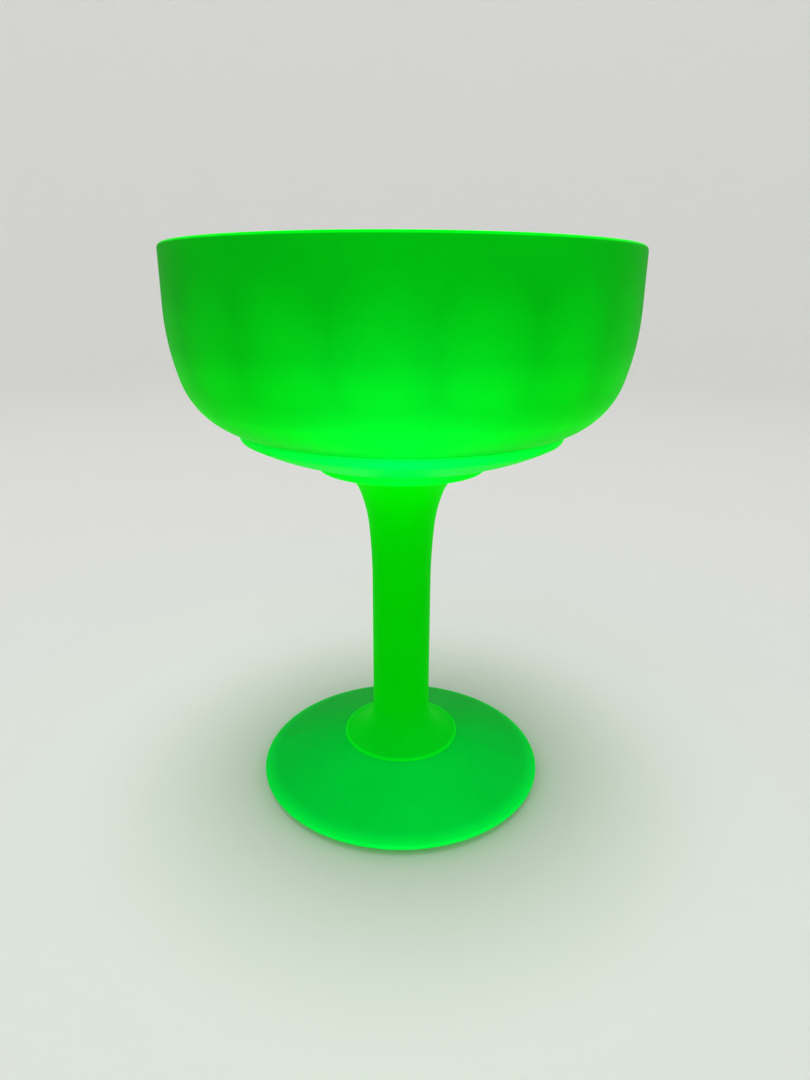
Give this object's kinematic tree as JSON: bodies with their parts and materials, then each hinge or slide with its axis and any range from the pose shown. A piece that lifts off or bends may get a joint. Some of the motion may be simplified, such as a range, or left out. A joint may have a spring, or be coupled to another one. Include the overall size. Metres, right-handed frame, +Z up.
{
  "type": "uranium glass footed dish",
  "caption": "Satin uranium glass dish: a round pressed bowl on a stepped pad and wafer, a slender flared stem and a low conical foot.",
  "frame": {"origin": "on the table surface, under the middle of the foot", "axes": "+Z up along the axis of the bowl, stem and foot; -Y is the front"},
  "size_m": [0.127, 0.127, 0.1624],
  "materials": {
    "bowl_glass": "acid-etched satin uranium glass, fluorescent yellow-green",
    "pad_glass": "acid-etched satin uranium glass, thick and brightly fluorescent",
    "wafer_glass": "acid-etched satin uranium glass, thick and brightly fluorescent",
    "stem_glass": "acid-etched satin uranium glass",
    "foot_glass": "acid-etched satin uranium glass with two faint mould lines"
  },
  "bodies": {
    "root": {"bowl": "bowl_glass", "pad": "pad_glass", "wafer": "wafer_glass", "stem": "stem_glass", "foot": "foot_glass"}
  },
  "joints": []
}
